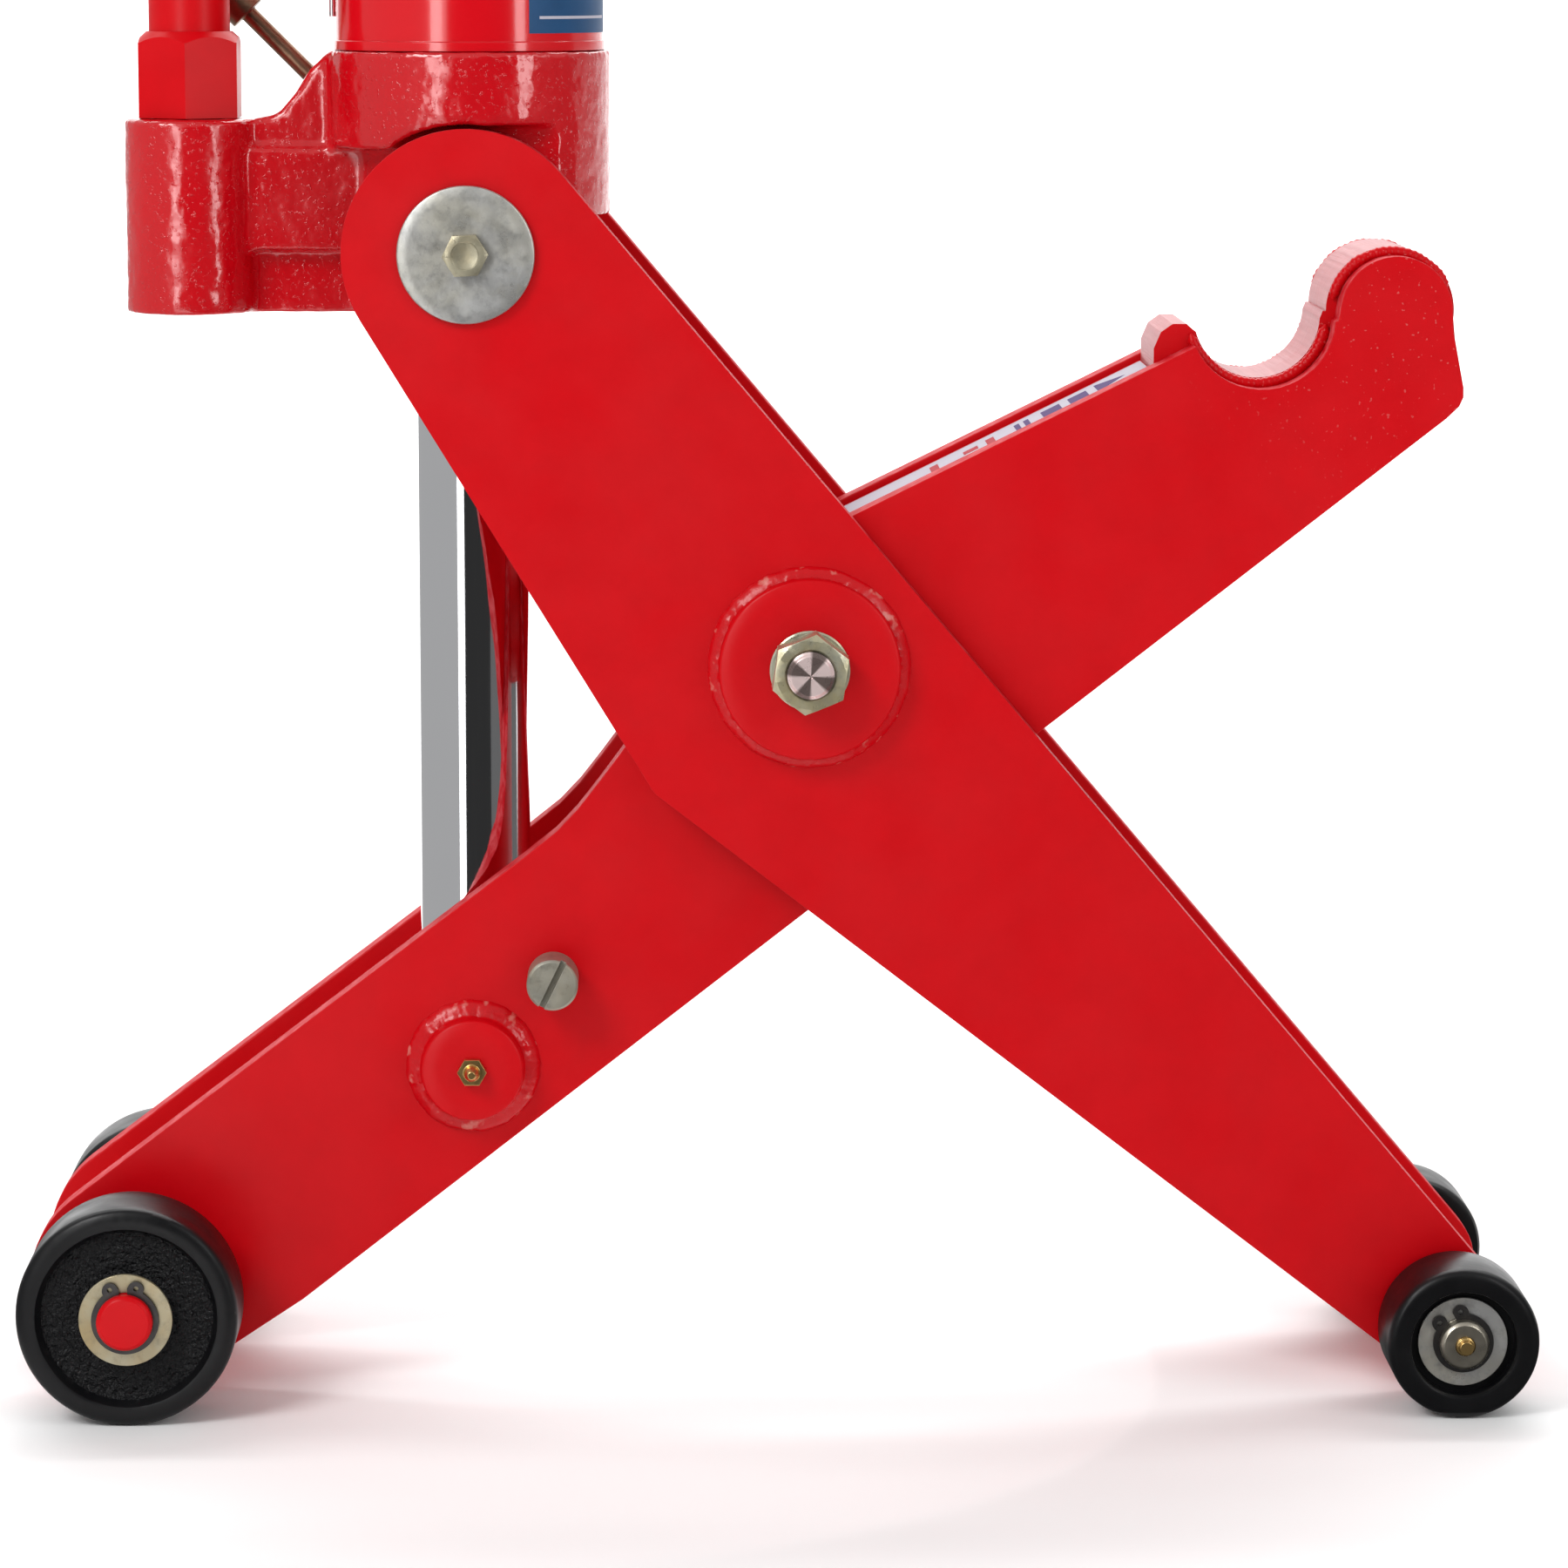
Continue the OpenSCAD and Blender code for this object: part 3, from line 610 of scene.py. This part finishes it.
# ---------------------------------------------------------------- detailed pieces
def welded_boss(stem, point, body, profile, segs, broad, fine, shrink, rise):
    """A boss whose rows 1 to 5 are a lumpy weld collar.

    broad is (count, seed, amount), and fine has the change of seed from row to row after them. Their sum,
    less shrink[0] and times shrink[1], moves the radius. rise is the (count, seed) of the height.
    """
    def collar(i, a, side):
        swell = lumps(a, broad[0], broad[1] * side, broad[2])
        swell += lumps(a, fine[0], fine[1] * side + fine[3] * i, fine[2])
        height = 0 if i == 1 else 0.5 * lumps(a, rise[0], rise[1] * side + 1.3 * i, 1.0)
        return ((swell - shrink[0]) * shrink[1], height)

    for tag, side in SIDES:
        def wobble(i, a, side=side):
            return collar(i, a, side) if 1 <= i <= 5 else (0, 0)

        # rows 1 to 4 take the weld look, with its painted highlights
        obj = lathe(f"{stem}_{tag}_welded", point, side, profile, [LOOK["plate"], LOOK["weld"]], body,
                    segs, wobble, lambda i: int(1 <= i <= 4), angle=50)
        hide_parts(f"{stem}_{tag}")


def pivot_discs():
    y = SIDE_FACE
    hole = 10.03
    profile = [(hole, y), (43.6, y), (43.4, y + 0.8), (42.4, y + 2.3), (40.6, y + 3.5), (39.2, y + 4.2),
               (38.6, y + 5.2), (38.5, y + 8.6), (38.1, y + 9.5), (37.3, y + 9.95), (30, y + 10),
               (18, y + 10), (hole, y + 10)]
    welded_boss("pivot_disc", PIVOT, "side_arm", profile, 360,
                broad=(7, 3.1, 1.3), fine=(17, 1.7, 0.6, 1.1), shrink=(1.2, 0.4), rise=(13, 7.7))


def lower_bosses():
    y = LIFT_FACE
    hole = 4.03
    profile = [(hole, y), (29.5, y), (29.2, y + 1), (27.8, y + 2.6), (25.4, y + 3.8), (23.4, y + 4.5),
               (22.1, y + 5.6), (22, y + 10.4), (21.6, y + 11.5), (20.8, y + 12), (14, y + 12),
               (hole, y + 12)]
    welded_boss("lower_boss", RAM_PIN, "lift_arm", profile, 300,
                broad=(4, 5.1, 1.5), fine=(12, 2.7, 0.7, 0.9), shrink=(1.4, 0.45), rise=(9, 4.7))


def rear_rollers():
    """Cast rollers with a smooth rim around a rough recess."""
    radius, bore = 47.0, 11.9
    y0, y1 = ROLLER_IN, ROLLER_OUT
    profile = [(bore, y0), (19, y0), (19.2, y0 + 6), (37.5, y0 + 6), (38.2, y0 + 0.6), (38.8, y0), (44.2, y0),
               (45.6, y0 + 0.5), (46.6, y0 + 1.8), (radius, y0 + 3.6), (radius, y0 + 10), (radius, y1 - 10),
               (radius, y1 - 4.2), (46.7, y1 - 2.3), (45.8, y1 - 1), (44.2, y1 - 0.2), (42.4, y1), (39.6, y1),
               (38.6, y1 - 0.3), (38.0, y1 - 1.2), (36.4, y1 - 4.6), (35.0, y1 - 5.3), (30, y1 - 5.4),
               (24, y1 - 5.4), (18.4, y1 - 5), (17.4, y1 - 4.4), (16.9, y1 - 0.6), (16.4, y1), (bore, y1)]

    def in_recess(i):
        return 20 <= i <= 25

    looks = [LOOK["black_turned"], LOOK["black_cast"]]
    for tag, side in SIDES:
        def wobble(i, a, side=side):
            if in_recess(i):
                return (0, lumps(a, 14, i * 1.7 + side, 0.5))
            if 15 <= i <= 19:
                dent = -abs(lumps(a, 9, i + side, 0.2))
                return (dent, dent)
            return (0, 0)

        obj = lathe(f"rear_roller_{tag}_cast", REAR, side, profile, looks, f"rear_roller_{tag}_body",
                    240, wobble, lambda i: int(in_recess(i)), angle=32)
        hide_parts(f"rear_roller_{tag}")


def front_rollers():
    radius, bore = 32.5, 10.55
    y0, y1 = ROLLER_IN, ROLLER_OUT
    profile = [(bore, y0), (16.6, y0), (17, y0 + 5), (22, y0 + 5), (22.5, y0 + 0.5), (23, y0), (29.8, y0),
               (31.2, y0 + 0.5), (32.1, y0 + 1.8), (radius, y0 + 3.6), (radius, y1 - 4.4), (32.2, y1 - 2.6),
               (31.4, y1 - 1.1), (30, y1 - 0.2), (28.6, y1), (24, y1), (23, y1 - 0.4), (22.6, y1 - 1.2),
               (22.5, y1 - 8), (bore, y1 - 8)]
    for tag, side in SIDES:
        obj = lathe(f"front_roller_{tag}_turned", FRONT, side, profile, [LOOK["black_turned"]],
                    f"front_roller_{tag}_body", 200, angle=32)
        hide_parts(f"front_roller_{tag}")


def pivot_nut(tag, side):
    obj = hex_head(f"pivot_nut_{tag}_hex", PIVOT, side, 30, SIDE_FACE + 10, SIDE_FACE + 26, math.radians(22),
                   LOOK["nut"], "side_arm", bore=10.05, flange=(17, 2))
    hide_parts(f"pivot_nut_{tag}")


def trunnion_bolt(tag, side):
    y = SIDE_FACE + 3.3
    obj = hex_head(f"trunnion_bolt_{tag}_head", TRUNNION, side, 17, y, y + 6.5, math.radians(3),
                   LOOK["yellow"], "hydraulic_unit", dish=5.4)
    lathe(f"trunnion_bolt_{tag}_shank", TRUNNION, side, [(5, SIDE_FACE - 18), (5, y + 0.1)], [LOOK["yellow"]],
          "hydraulic_unit", 32, closed=False)
    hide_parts(f"trunnion_bolt_{tag}")


def trunnion_washer(tag, side):
    """Pressed washer: rounded rim on the punched side, a hair of dish towards the bolt."""
    y = SIDE_FACE + 0.3
    profile = [(5.2, y), (28.8, y), (29, y + 0.3), (29, y + 1.9), (28.7, y + 2.6), (28.1, y + 2.95),
               (24, y + 3), (14, y + 2.9), (9, y + 2.85), (5.2, y + 2.85)]
    obj = lathe(f"trunnion_washer_{tag}_disc", TRUNNION, side, profile, [LOOK["zinc"]], "hydraulic_unit",
                180)
    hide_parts(f"trunnion_washer_{tag}")


def pivot_shaft():
    """The shaft, and its two ends with their thread and faced tips."""
    tip = reach("pivot_shaft")
    start, pitch = SIDE_FACE + 25.4, 1.5
    for tag, side in SIDES:
        rows = [(9.2, SIDE_FACE - 2), (9.2, start)]
        y = start
        while y < tip - 2.2:
            rows += [(9.25, y), (9.95, y + 0.55), (9.95, y + 0.75), (9.25, y + 1.3)]
            y += pitch
        rows += [(9.3, tip - 1.2), (8.6, tip - 0.3), (8.2, tip), (5.5, tip - 0.02), (3, tip - 0.1),
                 (1.1, tip - 0.12), (0.8, tip - 0.6)]
        lathe(f"pivot_pin_end_{tag}", PIVOT, side, rows, [LOOK["pin_end"]], "side_arm", closed=False,
              angle=30)
    obj = lathe("pivot_shaft_body", PIVOT, 1, [(20, -SIDE_FACE), (20, SIDE_FACE)], [LOOK["steel"]],
                "side_arm", closed=False)
    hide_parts("pivot_shaft")


def fasteners():
    for tag, side in SIDES:
        pivot_nut(tag, side)
        trunnion_bolt(tag, side)
        trunnion_washer(tag, side)
        bevelled(f"stop_stud_{tag}", LOOK["stud"], 0.5)
        bevelled(f"rear_washer_{tag}", LOOK["yellow"], 0.35)
        bevelled(f"front_washer_{tag}", LOOK["zinc"], 0.35)
    pivot_shaft()


def cast_block():
    """The pump block with soft, slightly wavy cast faces; its bores and the trunnions stay true."""
    obj = copy_of("pump_block", "pump_block_cast", [LOOK["cast"]])
    remesh = obj.modifiers.new("remesh", "REMESH")
    remesh.mode = "VOXEL"
    remesh.voxel_size = 1.7 * MM
    apply_modifiers(obj)
    smooth = obj.modifiers.new("smooth", "SMOOTH")
    smooth.factor = 0.5
    smooth.iterations = 9
    apply_modifiers(obj)
    mesh = obj.data
    mesh.materials.clear()
    mesh.materials.append(LOOK["cast"])
    flat = np.zeros(len(mesh.vertices) * 3, np.float32)
    mesh.vertices.foreach_get("co", flat)
    co = flat.reshape(-1, 3).copy()
    mesh.vertices.foreach_get("normal", flat)
    normal = flat.reshape(-1, 3)
    low, high = (np.array(corner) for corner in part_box("pump_block"))

    bore_r, bore_z = 0.047, TRUNNION.z - 0.02
    stub_r, stub_y = 0.031, 0.045
    for i in range(len(co)):
        p = Vector(float(c) for c in co[i])
        in_bore = math.hypot(p.x - TRUNNION.x, p.y) < bore_r and p.z > bore_z
        on_stub = math.hypot(p.x - TRUNNION.x, p.z - TRUNNION.z) < stub_r and abs(p.y) > stub_y
        if in_bore or on_stub:
            continue
        wave = noise.noise(p * 150) * 0.55 + noise.noise(p * 330) * 0.3 + noise.noise(p * 45) * 0.6
        co[i] += normal[i] * (wave * 0.36 - 0.2) * MM

    # keep the pockets clear where the side plates turn
    root_r, sweep_r, plate_y, floor_y = 0.0215, 0.0532, 0.0459, 0.0466
    dx, dz = co[:, 0] - TRUNNION.x, co[:, 2] - TRUNNION.z
    turn = np.hypot(dx, dz)
    swept = (turn < sweep_r) | ((dx > 0.009) & (dz < sweep_r))
    pocket = (np.abs(co[:, 1]) > plate_y) & (turn > root_r) & swept
    co[:, 1] = np.where(pocket, np.sign(co[:, 1]) * np.minimum(np.abs(co[:, 1]), floor_y), co[:, 1])
    co = np.clip(co, low, high).astype(np.float32)
    mesh.vertices.foreach_set("co", co.reshape(-1))
    mesh.update()
    shade(mesh, 70)
    stand_in(obj, "pump_block")


def arc(centre, radius, start, end, y):
    """Points on an arc in the plane of the plates, from start to end in degrees."""
    count = 48
    turns = [math.radians(start + (end - start) * i / count) for i in range(count + 1)]
    return [(centre.x + radius * math.cos(a), y, centre.z + radius * math.sin(a)) for a in turns]


def saddle_welds():
    """The beads where the saddle block meets the plates, around the seat and over the nose."""
    for tag, side in SIDES:
        y = side * 32.4 * MM
        seat_path = arc(SEAT, 29.6 * MM, 196, 352, y)
        nose_path = arc(NOSE, 25.3 * MM, 168, 20, y)
        bead(f"saddle_weld_seat_{tag}", seat_path, 2.7 * MM, LOOK["plate"], "lift_arm",
             2.3 * side)
        bead(f"saddle_weld_nose_{tag}", nose_path, 2.6 * MM, LOOK["plate"], "lift_arm",
             4.1 * side)


def height_label():
    """A scale strip on the web: an arrow, bars and ticks, with no wording."""
    slope = math.atan2(66.47, 135.0)
    along = Vector((math.cos(slope), 0, math.sin(slope)))
    up = Vector((-math.sin(slope), 0, math.cos(slope)))
    origin = PIVOT + Vector((0.012, 0, 0.05709))

    def patch(name, start, end, points, look):
        """points are (fraction of start to end, mm across); the patch stands a hair above the label."""
        bm = bmesh.new()
        low, top = [], []
        for part, across in points:
            base = origin + along * ((start + (end - start) * part) * MM) + Vector((0, across * MM, 0))
            low.append(bm.verts.new(base + up * (0.01 * MM)))
            top.append(bm.verts.new(base + up * (0.06 * MM)))
        bm.faces.new(top)
        bm.faces.new(low[::-1])
        for i in range(len(points)):
            after = (i + 1) % len(points)
            bm.faces.new((low[i], low[after], top[after], top[i]))
        bmesh.ops.recalc_face_normals(bm, faces=bm.faces)
        mesh_piece(name, bm, [LOOK[look]], "lift_arm")

    def bar(low, high):
        return [(0, low), (1, low), (1, high), (0, high)]

    patch("label_arrow", 127, 141, [(0, -15), (1, 0), (0, 15)], "purple")
    for letter, start, end, half in (("a", 114, 123, 12), ("b", 101, 110, 12), ("c", 88, 90.5, 12),
                                     ("d", 92.5, 95, 12)):
        patch(f"label_bar_{letter}", start, end, bar(-half, half), "purple")
    for letter, start, end, half in (("a", 74, 78, 10), ("b", 63, 70, 6), ("c", 47, 51, 10)):
        patch(f"label_red_{letter}", start, end, bar(-half, half), "label_red")
    for i in range(12):
        patch(f"label_tick_{i}", 4 + i * 3.2, 5 + i * 3.2, bar(-16, -12 + (i % 3)), "purple")


def tube_label():
    """A plain blue film on the tube, with a thin pale rule and no wording."""
    centre = middle("reservoir_tube")
    radius = 57.31 * MM
    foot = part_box("reservoir_tube")[0].z + 0.0075
    count = 40

    def film(name, start, end, bottom, top, inner, look):
        bm = bmesh.new()
        inside, outside = [], []
        for i in range(count + 1):
            a = math.radians(start + (end - start) * i / count)
            for r, skin in ((inner, inside), (inner + 0.08 * MM, outside)):
                x, y = centre.x + r * math.cos(a), r * math.sin(a)
                skin.append([bm.verts.new((x, y, z)) for z in (bottom, top)])
        for i in range(count):
            in0, in1, out0, out1 = inside[i], inside[i + 1], outside[i], outside[i + 1]
            bm.faces.new((out0[0], out1[0], out1[1], out0[1]))
            bm.faces.new((in0[0], in0[1], in1[1], in1[0]))
            bm.faces.new((in0[0], in1[0], out1[0], out0[0]))
            bm.faces.new((in0[1], out0[1], out1[1], in1[1]))
        for end_in, end_out in ((inside[0], outside[0]), (inside[-1], outside[-1])):
            bm.faces.new((end_in[0], end_out[0], end_out[1], end_in[1]))
        bmesh.ops.recalc_face_normals(bm, faces=bm.faces)
        mesh_piece(name, bm, [LOOK[look]], "hydraulic_unit", 50)

    film("tube_label_blue", -62, -2, foot, foot + 0.12, radius - 0.02 * MM, "blue")
    film("tube_label_rule", -57, -8, foot + 0.006, foot + 0.0072, radius + 0.05 * MM, "label")


def saddle_block():
    """Flame-cut rim, painted cheeks."""
    saddle = bevelled("saddle_block", LOOK["flame"], 1.4, 3)
    saddle.data.materials.append(LOOK["plate"])
    for face in saddle.data.polygons:
        if abs(face.normal.y) > 0.9:
            face.material_index = 1


paint_nodes()
bevel_nodes()
pivot_discs()
lower_bosses()
rear_rollers()
front_rollers()
fasteners()
bevelled("front_axle", LOOK["axle_end"], 0.6, angle=35)
cast_block()
saddle_welds()
height_label()
tube_label()
saddle_block()
bevelled("release_spindle", LOOK["bronze"], 0.8)
for nipple in ("lower_nipple", "front_nipple_near", "front_nipple_far"):
    bevelled(nipple, LOOK["brass"], 0.4)


# ---------------------------------------------------------------- stage
def make_floor():
    """A white sweep: floor, a quarter round and a wall."""
    mat = Mat("floor", Roughness=0.6)
    mat.colour(mat.mix(mat.noise(3, 2), (0.93, 0.93, 0.93), (0.95, 0.95, 0.95)))
    half_width, front, back, bend, height, steps = 16, -7, 9, 6, 14, 12
    turns = [math.pi / 2 * i / steps for i in range(steps + 1)]
    curve = [(back + bend * math.sin(a), bend - bend * math.cos(a)) for a in turns]
    bm = bmesh.new()
    rows = [[bm.verts.new((x, y, z)) for x in (-half_width, half_width)]
            for y, z in [(front, 0)] + curve + [(back + bend, height)]]
    for low, high in zip(rows, rows[1:]):
        bm.faces.new((low[0], low[1], high[1], high[0])).smooth = True
    link(bpy.data.objects.new("floor", mesh_from(bm, "floor", [mat.material])))


def make_world():
    world = bpy.data.worlds.new("world")
    bpy.context.scene.world = world
    world.use_nodes = True
    background = world.node_tree.nodes["Background"]
    background.inputs["Color"].default_value = (1, 1, 1, 1)
    background.inputs["Strength"].default_value = 0.54


def card(name, start, end, glow, low=0.003, far=2.05, top=1.3):
    """A studio card seen only in reflections, between two headings from the ram in degrees.

    A card that starts at the floor has a strip along the floor and a wall, and a raised one has only a wall.
    """
    near = 0.3
    mat = Mat(name, Base_Color=(0, 0, 0, 1), Roughness=1.0, Specular_IOR_Level=0.0,
              Emission_Color=(glow, glow, glow, 1), Emission_Strength=1.0)
    bm = bmesh.new()
    columns = []
    for i in range(9):
        a = math.radians(start + (end - start) * i / 8)
        columns.append([bm.verts.new((RAM_PIN.x - r * math.sin(a), -r * math.cos(a), z))
                        for r, z in ((near, low), (far, low), (far, top))])
    for left, right in zip(columns, columns[1:]):
        for i in (0, 1) if low < 0.1 else (1,):
            bm.faces.new((left[i], left[i + 1], right[i + 1], right[i]))
    obj = link(bpy.data.objects.new(name, mesh_from(bm, name, [mat.material])))
    obj.visible_camera = False
    obj.visible_diffuse = False
    obj.visible_shadow = False
    obj.visible_transmission = False


def area(name, place, target, size, power):
    data = bpy.data.lights.new(name, "AREA")
    data.shape = "RECTANGLE"
    data.size, data.size_y = size
    data.energy = power
    light = link(bpy.data.objects.new(name, data))
    light.location = place
    light.rotation_mode = "QUATERNION"
    light.rotation_quaternion = (Vector(target) - Vector(place)).to_track_quat("-Z", "Y")


def make_stage():
    """A white room, the cards that give the rod and the castings their bands, and soft lights."""
    make_floor()
    make_world()
    card("card_dark", 17, -38, 0.03)
    card("card_white", 31, 17, 2.2)
    card("card_grey", 150, 31, 0.42)
    card("card_soft", -38, -100, 0.14)
    card("strip_left", 31, 21, 7.0, low=0.36, far=2.0, top=1.5)
    card("strip_right", -41, -50, 6.0, low=0.3, far=2.0, top=1.5)
    area("key", (-1.7, -1.8, 2.3), (0, 0, 0.4), (1.1, 1.1), 46)
    area("fill", (2.2, -1.6, 1.4), (0, 0, 0.4), (1.8, 1.8), 16)
    area("back", (0.4, 2.4, 2.4), (0, 0, 0.5), (2.2, 1.4), 26)
    area("wall", (0, 5, 9), (0, 12, 2), (16, 3), 1900)


make_stage()
bpy.context.scene.view_settings.view_transform = "Standard"
bpy.context.scene.view_settings.look = "None"
